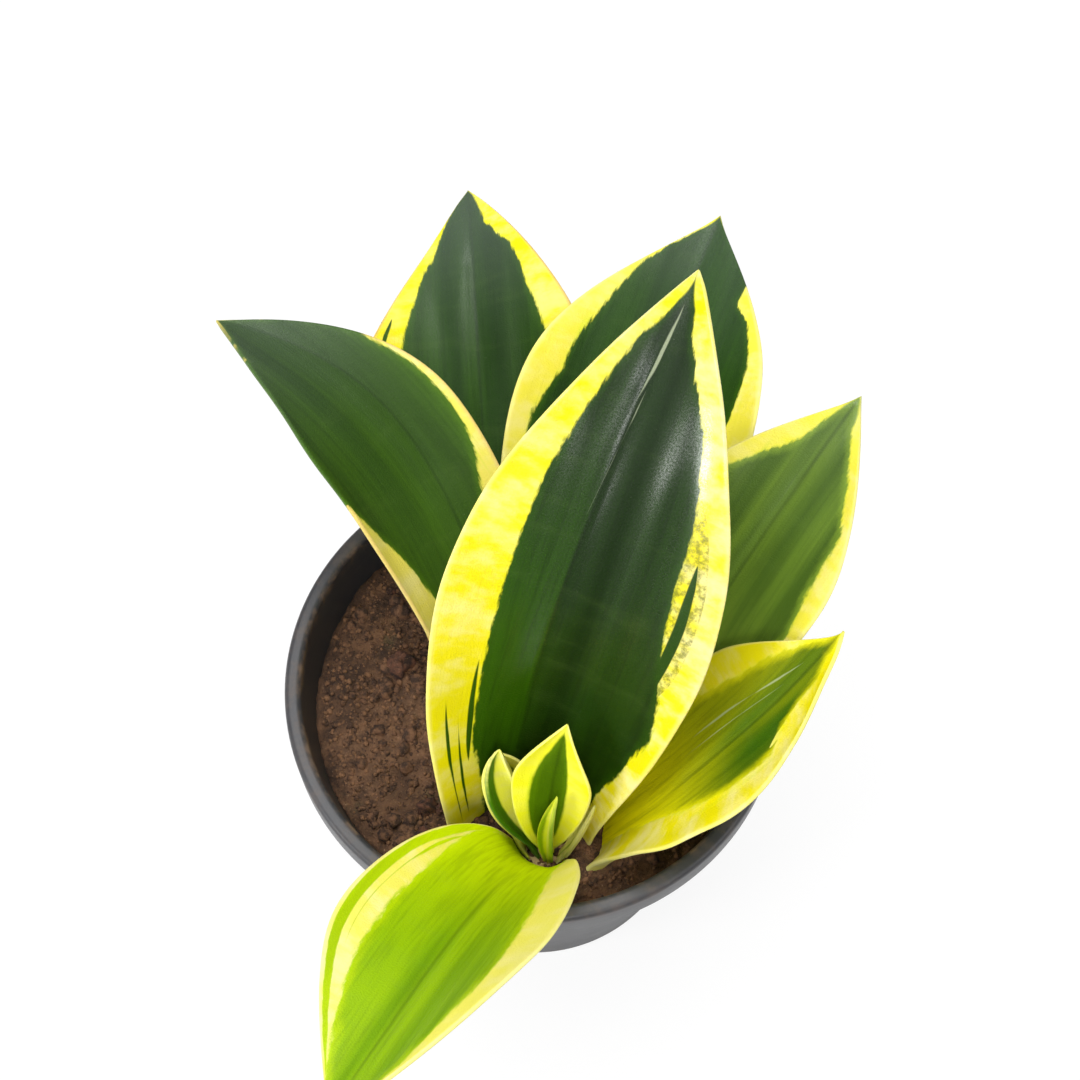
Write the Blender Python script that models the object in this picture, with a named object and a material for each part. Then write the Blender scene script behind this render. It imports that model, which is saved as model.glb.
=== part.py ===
"""Variegated bird's-nest snake plant in a round plastic nursery pot.

The pot stands on the origin with its axis along +Z. The plant grows near the front (-Y) wall of the
pot, and its leaves open from one short crown: every leaf is a channelled blade round its own midrib,
and each one's base ends just under the soil.
"""

import math
from dataclasses import dataclass

import bmesh
import bpy
import numpy as np
from mathutils import Vector

# Pot, in metres
RIM_RADIUS = 0.060
POT_HEIGHT = 0.100
FOOT_RADIUS = 0.043
WALL = 0.0012
FLOOR = 0.0020
LIP_WIDTH = 0.0040
LIP_HEIGHT = 0.0090
LIP_ROUND = 0.0012
FOOT_ROUND = 0.0020
POT_SIDES = 56

# Drainage holes through the pot's floor
HOLE_RADIUS = 0.0045
HOLE_RING_RADIUS = 0.030
HOLE_COUNT = 8
HOLE_SIDES = 12

# Soil and what stands in it
SOIL_BELOW_RIM = 0.0115
SOIL_EDGE_DROP = 0.0015
SOIL_EDGE_WIDTH = 0.0040
SOIL_SIDES = 48
CLEARANCE = 0.0003
BURIED_DEPTH = 0.0040
CROWN_X = 0.002
CROWN_FROM_WALL = 0.0174
RHIZOME_RADIUS = 0.0062
RHIZOME_LENGTH = 0.026
RHIZOME_ROUND = 0.0022
RHIZOME_SIDES = 20
CROWN_DISH_RADIUS = 0.0095

# Leaf flesh, and how finely a blade is divided
LEAF_BASE_THICK = 0.0038
LEAF_BLADE_THICK = 0.0023
LEAF_UPPER_THICK = 0.0018
LEAF_TIP_THICK = 0.0012
LEAF_EDGE_THICK = 0.0009
YOUNG_THICK_SHARE = 0.45
FLESH_THINS_AT = 0.25
FLESH_THINS_TO = 0.80
EDGE_FULLNESS = 2.5
BASE_SWELL = 1.3
LEAF_ACROSS = 7
YOUNG_ACROSS = 5
LEAF_STATIONS = (0.04, 0.09, 0.15, 0.22, 0.30, 0.39, 0.48, 0.57, 0.66, 0.75, 0.83, 0.90, 0.95, 0.98)
YOUNG_STATIONS = (0.08, 0.18, 0.30, 0.43, 0.56, 0.69, 0.81, 0.90, 0.96)
ROOT_RUN = 0.016
SLOT_REACH = 0.030
MIDRIB_STEPS = 160
CUP_CHANGE = 0.6


@dataclass
class Leaf:
    """One blade. Angles are degrees, lengths millimetres, shares are of the whole length or width.

    from_crown counts thicknesses of a leaf's base, so that leaves with thicker bases stand further out.
    """

    name: str
    stands_at: float
    from_crown: float
    heading: float
    turn: float
    rise: float
    tip_rise: float
    roll: float
    tip_roll: float
    length: float
    width: float
    base_share: float
    widest_at: float
    shoulder: float
    point: float
    cup: tuple
    young: bool = False


LEAVES = (
    Leaf("leaf_back_left", stands_at=109, from_crown=8.289, heading=94, turn=-0.5,
         rise=42, tip_rise=-3.5, roll=21, tip_roll=-26.5, length=138.5, width=61,
         base_share=0.38, widest_at=0.59, shoulder=1.4, point=0.96, cup=(30, 23, 10)),
    Leaf("leaf_back_right", stands_at=71.5, from_crown=6.711, heading=81, turn=-16,
         rise=49, tip_rise=7, roll=-6.5, tip_roll=-11, length=135, width=63.5,
         base_share=0.34, widest_at=0.6, shoulder=1.75, point=1.15, cup=(23, 44, 10)),
    Leaf("leaf_right", stands_at=33.5, from_crown=5.526, heading=52.5, turn=-4,
         rise=65, tip_rise=24, roll=-3, tip_roll=-5.5, length=115, width=45,
         base_share=0.38, widest_at=0.63, shoulder=1.75, point=1.16, cup=(32, 31, 13)),
    Leaf("leaf_left", stands_at=113, from_crown=5.789, heading=98.5, turn=56,
         rise=57, tip_rise=5.5, roll=12, tip_roll=19, length=132, width=45.5,
         base_share=0.32, widest_at=0.66, shoulder=1.65, point=1.06, cup=(54, 44, 35)),
    Leaf("leaf_right_low", stands_at=-3.5, from_crown=4.342, heading=9.5, turn=30.5,
         rise=69, tip_rise=36.5, roll=-23, tip_roll=-27.5, length=88, width=41.5,
         base_share=0.44, widest_at=0.59, shoulder=1.95, point=1.33, cup=(53, 28, 35)),
    Leaf("leaf_front_tall", stands_at=114, from_crown=3.026, heading=52, turn=18.5,
         rise=85, tip_rise=21.5, roll=35.5, tip_roll=-11, length=144.5, width=60.5,
         base_share=0.7, widest_at=0.46, shoulder=1.8, point=0.99, cup=(71, 21, 47)),
    Leaf("leaf_front_left", stands_at=248.5, from_crown=2.237, heading=242.5, turn=-1.5,
         rise=77, tip_rise=6.5, roll=2, tip_roll=31, length=107, width=48,
         base_share=0.41, widest_at=0.6, shoulder=1.6, point=1, cup=(70, 38, 28)),
    Leaf("scale_leaf_left", stands_at=146, from_crown=1.789, heading=132.5, turn=-20,
         rise=64.5, tip_rise=81.5, roll=15, tip_roll=-1.5, length=30.5, width=16.5,
         base_share=0.73, widest_at=0.49, shoulder=2.1, point=0.87, cup=(79, 70, 32), young=True),
    Leaf("scale_leaf_right", stands_at=-26.5, from_crown=1.737, heading=14, turn=35,
         rise=70, tip_rise=74, roll=-26, tip_roll=-68, length=23.5, width=6,
         base_share=0.6, widest_at=0.47, shoulder=1.7, point=0.95, cup=(50, 45, 35), young=True),
    Leaf("young_leaf_left", stands_at=155.5, from_crown=0.816, heading=150, turn=-55,
         rise=68, tip_rise=75, roll=-10.5, tip_roll=-42, length=36, width=13.5,
         base_share=0.65, widest_at=0.5, shoulder=1.85, point=0.88, cup=(102, 96, 77), young=True),
    Leaf("young_leaf_right", stands_at=-46, from_crown=0.447, heading=85, turn=-20.5,
         rise=94.5, tip_rise=53, roll=5.5, tip_roll=3.5, length=49.5, width=18.5,
         base_share=0.222, widest_at=0.65, shoulder=1.8, point=1.17, cup=(100, 24, 55), young=True),
    Leaf("spear_leaf", stands_at=-74, from_crown=1.184, heading=85, turn=-32.5,
         rise=95.5, tip_rise=69.5, roll=-2.5, tip_roll=-29, length=33, width=5,
         base_share=0.45, widest_at=0.51, shoulder=1.7, point=1, cup=(84, 81, 54), young=True),
)


def ring_wall_radius(height):
    """Inner radius of the pot's tapered wall at this height."""
    share = (height - FLOOR) / (POT_HEIGHT - FLOOR)
    foot = FOOT_RADIUS - WALL
    rim = RIM_RADIUS - LIP_WIDTH
    return foot + (rim - foot) * share


SOIL_TOP = POT_HEIGHT - SOIL_BELOW_RIM
CROWN = Vector((CROWN_X, CROWN_FROM_WALL - ring_wall_radius(SOIL_TOP), SOIL_TOP))


def material(name, colour, roughness, metallic=0.0):
    """A Principled material for one piece."""
    finish = bpy.data.materials.new(name)
    finish.use_nodes = True
    shader = finish.node_tree.nodes["Principled BSDF"]
    shader.inputs["Base Color"].default_value = (*colour, 1.0)
    shader.inputs["Roughness"].default_value = roughness
    shader.inputs["Metallic"].default_value = metallic
    return finish


def add_object(name, mesh_data, finish=None):
    """Put finished geometry in the scene as the named piece."""
    mesh = bpy.data.meshes.new(name)
    mesh_data.to_mesh(mesh)
    mesh_data.free()
    piece = bpy.data.objects.new(name, mesh)
    bpy.context.scene.collection.objects.link(piece)
    if finish:
        mesh.materials.append(finish)
        mesh.shade_smooth()
        mesh.set_sharp_from_angle(angle=math.radians(35))
    return piece


def arc(centre_r, centre_z, radius, start, end, steps=4):
    """Points of a round edge in the (radius, height) plane, angles in degrees."""
    angles = np.radians(np.linspace(start, end, steps))
    return [(centre_r + radius * math.cos(a), centre_z + radius * math.sin(a)) for a in angles]


def turned(profile, sides):
    """A solid turned round +Z from an outline that starts and ends on the axis, going up its outside."""
    solid = bmesh.new()
    rings = []
    for radius, height in profile:
        if radius == 0:
            rings.append([solid.verts.new((0, 0, height))])
            continue
        angles = [math.tau * side / sides for side in range(sides)]
        around = [(radius * math.cos(a), radius * math.sin(a), height) for a in angles]
        rings.append([solid.verts.new(point) for point in around])
    bridge(solid, rings)
    return solid


def bridge(solid, rings):
    """Join each ring to the next; a ring of one point is a pole."""
    for low, high in zip(rings, rings[1:]):
        count = max(len(low), len(high))
        for here in range(count):
            after = (here + 1) % count
            if len(low) == 1:
                solid.faces.new((low[0], high[after], high[here]))
            elif len(high) == 1:
                solid.faces.new((low[here], low[after], high[0]))
            else:
                solid.faces.new((low[here], low[after], high[after], high[here]))


def cut(piece, cutter):
    """Take the cutter out of the piece."""
    cutter.hide_render = True
    cutter.display_type = "WIRE"
    boolean = piece.modifiers.new("cut " + cutter.name, "BOOLEAN")
    boolean.operation = "DIFFERENCE"
    boolean.solver = "EXACT"
    boolean.object = cutter


def make_pot():
    """Moulded pot: flat floor, tapered wall, and a thick lip turned outwards round the rim."""
    lip_low = POT_HEIGHT - LIP_HEIGHT
    outline = [(0, 0)]
    outline += arc(FOOT_RADIUS - FOOT_ROUND, FOOT_ROUND, FOOT_ROUND, -90, 0)
    outline += [(ring_wall_radius(lip_low) + WALL, lip_low)]
    outline += arc(RIM_RADIUS - LIP_ROUND / 2, lip_low + LIP_ROUND / 2, LIP_ROUND / 2, -90, 0, 3)
    outline += arc(RIM_RADIUS - LIP_ROUND, POT_HEIGHT - LIP_ROUND, LIP_ROUND, 0, 90)
    outline += arc(RIM_RADIUS - LIP_WIDTH + LIP_ROUND, POT_HEIGHT - LIP_ROUND, LIP_ROUND, 90, 180)
    outline += [(ring_wall_radius(FLOOR), FLOOR), (0, FLOOR)]
    plastic = material("black_plastic", (0.060, 0.060, 0.064), 0.42)
    pot = add_object("pot", turned(outline, POT_SIDES), plastic)
    for number in range(HOLE_COUNT):
        angle = math.tau * (number + 0.5) / HOLE_COUNT
        drill = bmesh.new()
        bmesh.ops.create_cone(drill, cap_ends=True, segments=HOLE_SIDES, radius1=HOLE_RADIUS,
                              radius2=HOLE_RADIUS, depth=4 * FLOOR)
        place = (HOLE_RING_RADIUS * math.cos(angle), HOLE_RING_RADIUS * math.sin(angle), FLOOR / 2)
        bmesh.ops.translate(drill, verts=drill.verts, vec=place)
        cut(pot, add_object(f"drain_drill_{number}", drill))
    return pot


def make_soil():
    """Soil that fills the pot to just below the rim and dips a little where it meets the wall."""
    edge = SOIL_TOP - SOIL_EDGE_DROP
    low = FLOOR + CLEARANCE
    outline = [
        (0, low),
        (ring_wall_radius(low) - CLEARANCE, low),
        (ring_wall_radius(edge) - CLEARANCE, edge),
        (ring_wall_radius(edge) - CLEARANCE - SOIL_EDGE_WIDTH, SOIL_TOP),
        (0, SOIL_TOP),
    ]
    return add_object("soil", turned(outline, SOIL_SIDES), material("soil", (0.105, 0.058, 0.036), 0.95))


def make_rhizome(soil):
    """The short stout stem in the soil, in the middle of the leaves, with its top level with their ends."""
    top = SOIL_TOP - BURIED_DEPTH - CLEARANCE
    low = top - RHIZOME_LENGTH
    rhizome_skin = material("rhizome", (0.55, 0.42, 0.24), 0.7)

    def stem(grow):
        radius = RHIZOME_RADIUS + grow
        bottom = low - grow
        return [(0, bottom)] + arc(radius - RHIZOME_ROUND, bottom + RHIZOME_ROUND, RHIZOME_ROUND, -90, 0)

    well = stem(CLEARANCE) + [(RHIZOME_RADIUS + CLEARANCE, top), (CROWN_DISH_RADIUS, top)]
    well += [(CROWN_DISH_RADIUS, POT_HEIGHT), (0, POT_HEIGHT)]
    stub = stem(0) + [(RHIZOME_RADIUS, top), (0, top)]
    for outline, name, finish in ((well, "crown_well", None), (stub, "rhizome", rhizome_skin)):
        shape = turned(outline, RHIZOME_SIDES)
        bmesh.ops.translate(shape, verts=shape.verts, vec=(CROWN.x, CROWN.y, 0))
        piece = add_object(name, shape, finish)
        if not finish:
            cut(soil, piece)


def width_share(leaf, along):
    """Width at a place along the blade, as a share of the widest."""
    if along < leaf.widest_at:
        swell = math.sin(math.pi / 2 * max(along, 0.0) / leaf.widest_at) ** BASE_SWELL
        return leaf.base_share + (1 - leaf.base_share) * swell
    past = (along - leaf.widest_at) / (1 - leaf.widest_at)
    return max(1 - past ** leaf.shoulder, 0.0) ** leaf.point


def ease(value):
    """A smooth step from 0 to 1."""
    value = min(max(value, 0.0), 1.0)
    return value * value * (3 - 2 * value)


def half_cup(leaf, along):
    """Half the angle that the channel of the blade bends through, in radians."""
    base, middle, tip = leaf.cup
    early = (middle - base) * ease(along / CUP_CHANGE)
    late = (tip - middle) * ease((along - CUP_CHANGE) / (1 - CUP_CHANGE))
    return math.radians(base + early + late)


def thickness(leaf, along, across):
    """Flesh thickness: fat at the base and midrib, thin at the tip and margins."""
    share = YOUNG_THICK_SHARE if leaf.young else 1.0
    places = (0.0, FLESH_THINS_AT, FLESH_THINS_TO, 1.0)
    flesh = (LEAF_BASE_THICK, LEAF_BLADE_THICK, LEAF_UPPER_THICK, LEAF_TIP_THICK)
    middle = share * float(np.interp(along, places, flesh))
    edge = min(LEAF_EDGE_THICK, middle)
    return edge + (middle - edge) * (1 - abs(across) ** EDGE_FULLNESS)


def midrib_place(leaf, along):
    """Where the midrib is, which way it runs, which way the blade's face looks and its right side."""
    steps = max(int(MIDRIB_STEPS * max(along, 0.0)), 1)
    place = Vector(CROWN)
    stands = math.radians(leaf.stands_at)
    place += Vector((math.cos(stands), math.sin(stands), 0)) * leaf.from_crown * LEAF_BASE_THICK

    def run_at(share):
        heading = math.radians(leaf.heading + leaf.turn * share)
        rise = math.radians(leaf.rise + (leaf.tip_rise - leaf.rise) * share)
        level = Vector((math.cos(heading), math.sin(heading), 0))
        up = Vector((0, 0, 1))
        return level * math.cos(rise) + up * math.sin(rise), up * math.cos(rise) - level * math.sin(rise)

    length = leaf.length / 1000
    for step in range(steps):
        middle_run, _ = run_at(max(along, 0.0) * (step + 0.5) / steps)
        place += middle_run * length * max(along, 0.0) / steps
    run, face = run_at(max(along, 0.0))
    place += run * length * min(along, 0.0)
    roll = math.radians(leaf.roll + (leaf.tip_roll - leaf.roll) * max(along, 0.0))
    right = run.cross(face)
    rolled_face = face * math.cos(roll) + right * math.sin(roll)
    rolled_right = right * math.cos(roll) - face * math.sin(roll)
    return place, run, rolled_face, rolled_right


def blade(leaf, stations, grow=0.0, pointed=True):
    """A leaf's solid: closed rings across the blade, under face first, from the buried end to the tip."""
    across_count = YOUNG_ACROSS if leaf.young else LEAF_ACROSS
    across = np.linspace(-1, 1, across_count)
    solid = bmesh.new()
    rings = []
    for along in stations:
        place, run, face, right = midrib_place(leaf, along)
        bend = half_cup(leaf, along)
        half_width = leaf.width / 2000 * width_share(leaf, along) + grow
        radius = half_width / bend
        upper = []
        lower = []
        for share in across:
            angle = bend * share
            skin = place + right * radius * math.sin(angle) + face * radius * (1 - math.cos(angle))
            out = face * math.cos(angle) - right * math.sin(angle)
            half = thickness(leaf, along, share) / 2 + grow
            upper.append(solid.verts.new(skin + out * half))
            lower.append(solid.verts.new(skin - out * half))
        rings.append(lower + upper[::-1])
    if pointed:
        tip = midrib_place(leaf, 1.0)[0]
        rings.append([solid.verts.new(tip)])
    else:
        solid.faces.new(rings[-1])
    solid.faces.new(rings[0][::-1])
    bridge(solid, rings)
    bmesh.ops.recalc_face_normals(solid, faces=solid.faces)
    return solid


def cut_level(solid, height):
    """Trim the solid's lower end off flat at this height and close it."""
    everything = list(solid.verts) + list(solid.edges) + list(solid.faces)
    trimmed = bmesh.ops.bisect_plane(solid, geom=everything, dist=1e-7, plane_co=(0, 0, height),
                                     plane_no=(0, 0, 1), clear_inner=True)
    rim = [part for part in trimmed["geom_cut"] if isinstance(part, bmesh.types.BMEdge)]
    bmesh.ops.holes_fill(solid, edges=rim, sides=0)
    bmesh.ops.recalc_face_normals(solid, faces=solid.faces)


def make_leaf(leaf, soil, finish):
    """One leaf, and the slot that its base presses into the soil."""
    below = -ROOT_RUN / (leaf.length / 1000)
    fine = YOUNG_STATIONS if leaf.young else LEAF_STATIONS
    solid = blade(leaf, (below, 0.0) + fine)
    cut_level(solid, SOIL_TOP - BURIED_DEPTH)
    add_object(leaf.name, solid, finish)
    near = [station for station in fine if station * leaf.length < SLOT_REACH * 1000]
    slot = blade(leaf, (below, 0.0) + tuple(near), grow=CLEARANCE, pointed=False)
    cut_level(slot, SOIL_TOP - BURIED_DEPTH - CLEARANCE)
    cut(soil, add_object(leaf.name + "_slot", slot))


def main():
    """Clear the scene, then make the pot and what grows in it."""
    for old in list(bpy.data.objects):
        bpy.data.objects.remove(old, do_unlink=True)
    make_pot()
    soil = make_soil()
    make_rhizome(soil)
    grown = material("leaf", (0.045, 0.120, 0.030), 0.38)
    young = material("young_leaf", (0.420, 0.480, 0.040), 0.40)
    for leaf in LEAVES:
        make_leaf(leaf, soil, young if leaf.young else grown)


main()
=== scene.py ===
"""Variegated bird's-nest snake plant in a round black nursery pot."""
import functools
import math

import bmesh
import bpy
import numpy as np
from mathutils import Matrix, Vector, noise


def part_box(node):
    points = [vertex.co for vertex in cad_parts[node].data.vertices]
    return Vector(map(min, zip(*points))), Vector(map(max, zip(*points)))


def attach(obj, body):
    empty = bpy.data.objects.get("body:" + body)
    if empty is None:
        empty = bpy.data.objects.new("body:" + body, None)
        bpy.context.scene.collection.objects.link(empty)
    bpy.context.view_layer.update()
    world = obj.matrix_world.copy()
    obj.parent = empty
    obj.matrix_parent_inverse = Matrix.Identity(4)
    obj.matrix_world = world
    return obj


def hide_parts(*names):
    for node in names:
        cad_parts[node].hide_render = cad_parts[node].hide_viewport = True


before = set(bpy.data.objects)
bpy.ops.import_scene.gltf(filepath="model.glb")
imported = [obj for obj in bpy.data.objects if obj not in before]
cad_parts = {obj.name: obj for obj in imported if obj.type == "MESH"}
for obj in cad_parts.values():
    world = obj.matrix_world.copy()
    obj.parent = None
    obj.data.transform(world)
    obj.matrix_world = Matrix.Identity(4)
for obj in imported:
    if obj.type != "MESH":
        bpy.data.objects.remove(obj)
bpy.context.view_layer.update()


# The pot: one thin injection-moulded shell in black plastic, with a flat foot, a tapered wall, a thick
# rolled lip round the rim, and a ring of drain holes through its floor.

POT_WALL = 0.0012
POT_FLOOR = 0.0020
LIP_WIDE = 0.0040
LIP_TALL = 0.0090
LIP_ROUND = 0.0014
FOOT_ROUND = 0.0020
POT_SIDES = 192
HOLES = 8
HOLE_RADIUS = 0.0045
HOLE_RING = 0.030

pot_low, pot_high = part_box("pot")
rim_radius = pot_high.x
pot_height = pot_high.z
foot_points = [v.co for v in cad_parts["pot"].data.vertices if v.co.z < pot_low.z + 2 * POT_FLOOR]
foot_radius = max(math.hypot(point.x, point.y) for point in foot_points)


def inner_radius(height):
    """Radius of the wall's inner face at this height."""
    share = (height - POT_FLOOR) / (pot_height - POT_FLOOR)
    return foot_radius - POT_WALL + (rim_radius - LIP_WIDE - foot_radius + POT_WALL) * share


def round_edge(centre_r, centre_z, radius, start, end, steps=8):
    """Points of a quarter-round in the (radius, height) plane, angles in degrees."""
    angles = np.radians(np.linspace(start, end, steps))
    return [(centre_r + radius * math.cos(a), centre_z + radius * math.sin(a)) for a in angles]


def straight(start, end, steps):
    """Points between two corners of an outline, without the corners."""
    return [tuple(point) for point in np.linspace(start, end, steps + 2)[1:-1]]


def linear(red, green, blue):
    """A colour chart's 0 to 255 values as the shader's own colour."""
    parts = [value / 255 for value in (red, green, blue)]
    return tuple(p / 12.92 if p < 0.04045 else ((p + 0.055) / 1.055) ** 2.4 for p in parts)


class Signal:
    """A socket of a material's node tree. Arithmetic on it adds Math nodes, node() any other node."""

    def __init__(self, tree, socket=None):
        self.tree = tree
        self.socket = socket

    def node(self, kind, settings=None, inputs=None, output=0):
        made = self.tree.nodes.new(kind)
        for name, value in (settings or {}).items():
            setattr(made, name, value)
        by_name = {socket.identifier: socket for socket in made.inputs}
        for name, value in (inputs or {}).items():
            if isinstance(value, Signal):
                self.tree.links.new(value.socket, by_name[name])
            else:
                length = len(value) if isinstance(value, tuple) else 0
                needed = 4 if by_name[name].type == "RGBA" else length
                by_name[name].default_value = (*value, 1.0)[:needed] if length else value
        return Signal(self.tree, made.outputs[output])

    def math(self, operation, *values, clamp=False):
        names = ("Value", "Value_001", "Value_002")
        return self.node("ShaderNodeMath", {"operation": operation, "use_clamp": clamp},
                         dict(zip(names, values)))

    def __add__(self, other):
        return self.math("ADD", self, other)

    def __radd__(self, other):
        return self.math("ADD", other, self)

    def __sub__(self, other):
        return self.math("SUBTRACT", self, other)

    def __rsub__(self, other):
        return self.math("SUBTRACT", other, self)

    def __mul__(self, other):
        return self.math("MULTIPLY", self, other)

    def __rmul__(self, other):
        return self.math("MULTIPLY", other, self)

    def __truediv__(self, other):
        return self.math("DIVIDE", self, other)

    def __abs__(self):
        return self.math("ABSOLUTE", self)

    def step(self, low, high):
        """0 where this is below low, 1 above high, and smooth between them."""
        return self.node("ShaderNodeMapRange", {"interpolation_type": "SMOOTHSTEP"},
                         {"Value": self, "From Min": low, "From Max": high})

    def noise(self, scale, detail=3.0, rough=0.55, stretch=(1.0, 1.0, 1.0), offset=(0.0, 0.0, 0.0)):
        """Soft random mottling read at this place; stretch below 1 draws it out along that axis."""
        place = self.node("ShaderNodeMapping", {}, {"Vector": self, "Scale": stretch, "Location": offset})
        return self.node("ShaderNodeTexNoise", {},
                         {"Vector": place, "Scale": scale, "Detail": detail, "Roughness": rough})

    def blend(self, low, high):
        """low where this is 0 and high where it is 1, both colours."""
        return self.node("ShaderNodeMix", {"data_type": "RGBA"},
                         {"Factor_Float": self, "A_Color": low, "B_Color": high}, 2)

    def part(self, axis):
        """One coordinate of this place."""
        return self.node("ShaderNodeSeparateXYZ", {}, {"Vector": self}, axis)

    def bump(self, strength, distance):
        """A surface normal roughened by this height."""
        return self.node("ShaderNodeBump", {}, {"Height": self, "Strength": strength,
                                                "Distance": distance})


def new_material(name):
    """A material with one Principled shader, and a Signal to start its nodes from."""
    made = bpy.data.materials.new(name)
    made.use_nodes = True
    return made, Signal(made.node_tree), made.node_tree.nodes["Principled BSDF"]


def finish_shader(shader, colour, roughness, normal, **settings):
    """Link what varies over the surface, and set the rest on the shader's own sockets."""
    links = shader.id_data.links
    for name, value in (("Base Color", colour), ("Roughness", roughness), ("Normal", normal)):
        links.new(value.socket, shader.inputs[name])
    for name, value in settings.items():
        shader.inputs[name.replace("_", " ")].default_value = value


def black_plastic():
    """Black polypropylene with a soft shine, dulled by handling and by a little dried soil."""
    made, start, shader = new_material("black_plastic")
    place = start.node("ShaderNodeTexCoord", {}, {}, 3)
    height = place.part(2)
    grain = place.noise(2600.0, 2.0)
    clouds = place.noise(60.0, 4.0)
    radius = start.math("SQRT", place.part(0) * place.part(0) + place.part(1) * place.part(1))
    scuffs = place.noise(300.0, 3.0, 0.6, stretch=(0.25, 0.25, 2.5))
    colour = clouds.blend(linear(40, 40, 44), linear(60, 60, 63))
    near_rim = height.step(pot_height - 0.004, pot_height - 0.001)
    inside = 1.0 - radius.step(rim_radius - LIP_WIDE - 0.0002, rim_radius - LIP_WIDE + 0.0014)
    silt = place.noise(180.0, 5.0, 0.7).step(0.42, 0.68)
    dust = silt * (near_rim * 0.16 + inside * near_rim * 0.75)
    colour = dust.blend(colour, linear(128, 104, 84))
    wet = 1.0 - height.step(0.0, 0.012)
    colour = (wet * silt * 0.25).blend(colour, linear(110, 90, 72))
    worn = scuffs.step(0.60, 0.78)
    colour = (worn * 0.25).blend(colour, linear(112, 112, 114))
    roughness = 0.36 + clouds * 0.16 + dust * 0.4 + worn * 0.12
    normal = (grain * 0.6 + scuffs * 0.8).bump(0.22, 0.0002)
    finish_shader(shader, colour, roughness, normal, IOR=1.49)
    return made


def tree_for(name, sockets):
    """An empty Geometry Nodes tree with a mesh going in and out and these named sizes going in."""
    tree = bpy.data.node_groups.new(name, "GeometryNodeTree")
    tree.interface.new_socket("Mesh", in_out="INPUT", socket_type="NodeSocketGeometry")
    for label, kind, value in sockets:
        socket = tree.interface.new_socket(label, in_out="INPUT", socket_type="NodeSocket" + kind)
        if value is not None:
            socket.default_value = value
    tree.interface.new_socket("Mesh", in_out="OUTPUT", socket_type="NodeSocketGeometry")
    return tree, tree.nodes.new("NodeGroupInput"), tree.nodes.new("NodeGroupOutput")


def geometry_node(tree, kind, inputs=None, **settings):
    """One geometry node with its settings, and its sockets' values or links, given by name or number."""
    made = tree.nodes.new(kind)
    for name, value in settings.items():
        setattr(made, name, value)
    for name, value in (inputs or {}).items():
        socket = made.inputs[name]
        if isinstance(value, bpy.types.NodeSocket):
            tree.links.new(value, socket)
        else:
            socket.default_value = value
    return made


def finish_tree(tree, given, result, geometry):
    """End a tree: make its instances real and give them the material that goes in."""
    whole = geometry_node(tree, "GeometryNodeRealizeInstances", {"Geometry": geometry})
    coated = geometry_node(tree, "GeometryNodeSetMaterial",
                           {"Geometry": whole.outputs["Geometry"], "Material": given.outputs["Material"]})
    tree.links.new(coated.outputs["Geometry"], result.inputs[0])
    return tree


def place_object(name, data):
    """A new object in the scene, made of this data."""
    made = bpy.data.objects.new(name, data)
    bpy.context.scene.collection.objects.link(made)
    return made


def grow(name, start_mesh, tree, values):
    """Run a tree on a start mesh, and keep what it makes as a plain mesh object with this name."""
    seed = place_object(name + "_start", start_mesh)
    modifier = seed.modifiers.new(name, "NODES")
    modifier.node_group = tree
    for item in tree.interface.items_tree:
        if item.in_out == "INPUT" and item.name in values:
            modifier[item.identifier] = values[item.name]
    bpy.context.view_layer.update()
    evaluated = seed.evaluated_get(bpy.context.evaluated_depsgraph_get())
    mesh = bpy.data.meshes.new_from_object(evaluated)
    seed.modifiers.clear()
    bpy.data.objects.remove(seed)
    mesh.name = name
    piece = place_object(name, mesh)
    return piece


def outline_mesh(name, outline, path_radius):
    """A turned piece's outline as a row of edges, measured outwards from the circle it is swept on."""
    mesh = bpy.data.meshes.new(name)
    points = [(radius - path_radius, -height, 0.0) for radius, height in outline]
    mesh.from_pydata(points, [(n, n + 1) for n in range(len(points) - 1)], [])
    return mesh


def turning_tree():
    """Sweeps an outline round a circle, closes it on the axis and drills a ring of holes through it."""
    tree, given, result = tree_for("turned_and_drilled", [
        ("Path radius", "Float", 0.05), ("Sides", "Int", 96), ("Holes", "Int", 0),
        ("Hole radius", "Float", 0.004), ("Hole ring", "Float", 0.03), ("Hole depth", "Float", 0.02),
        ("Material", "Material", None)])
    path = geometry_node(tree, "GeometryNodeCurvePrimitiveCircle",
                         {"Resolution": given.outputs["Sides"], "Radius": given.outputs["Path radius"]})
    outline = geometry_node(tree, "GeometryNodeMeshToCurve", {"Mesh": given.outputs["Mesh"]})
    swept = geometry_node(tree, "GeometryNodeCurveToMesh",
                          {"Curve": path.outputs["Curve"], "Profile Curve": outline.outputs["Curve"]})
    closed = geometry_node(tree, "GeometryNodeMergeByDistance",
                           {"Geometry": swept.outputs["Mesh"], "Distance": 0.00001})
    ring = geometry_node(tree, "GeometryNodeMeshCircle",
                         {"Vertices": given.outputs["Holes"], "Radius": given.outputs["Hole ring"]})
    drill = geometry_node(tree, "GeometryNodeMeshCylinder",
                          {"Vertices": 40, "Radius": given.outputs["Hole radius"],
                           "Depth": given.outputs["Hole depth"]})
    drills = geometry_node(tree, "GeometryNodeInstanceOnPoints",
                           {"Points": ring.outputs["Mesh"], "Instance": drill.outputs["Mesh"]})
    cutters = geometry_node(tree, "GeometryNodeRealizeInstances",
                            {"Geometry": drills.outputs["Instances"]})
    drilled = geometry_node(tree, "GeometryNodeMeshBoolean",
                            {"Mesh 1": closed.outputs["Geometry"], "Mesh 2": cutters.outputs["Geometry"]},
                            operation="DIFFERENCE", solver="EXACT")
    return finish_tree(tree, given, result, drilled.outputs["Mesh"])


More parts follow.
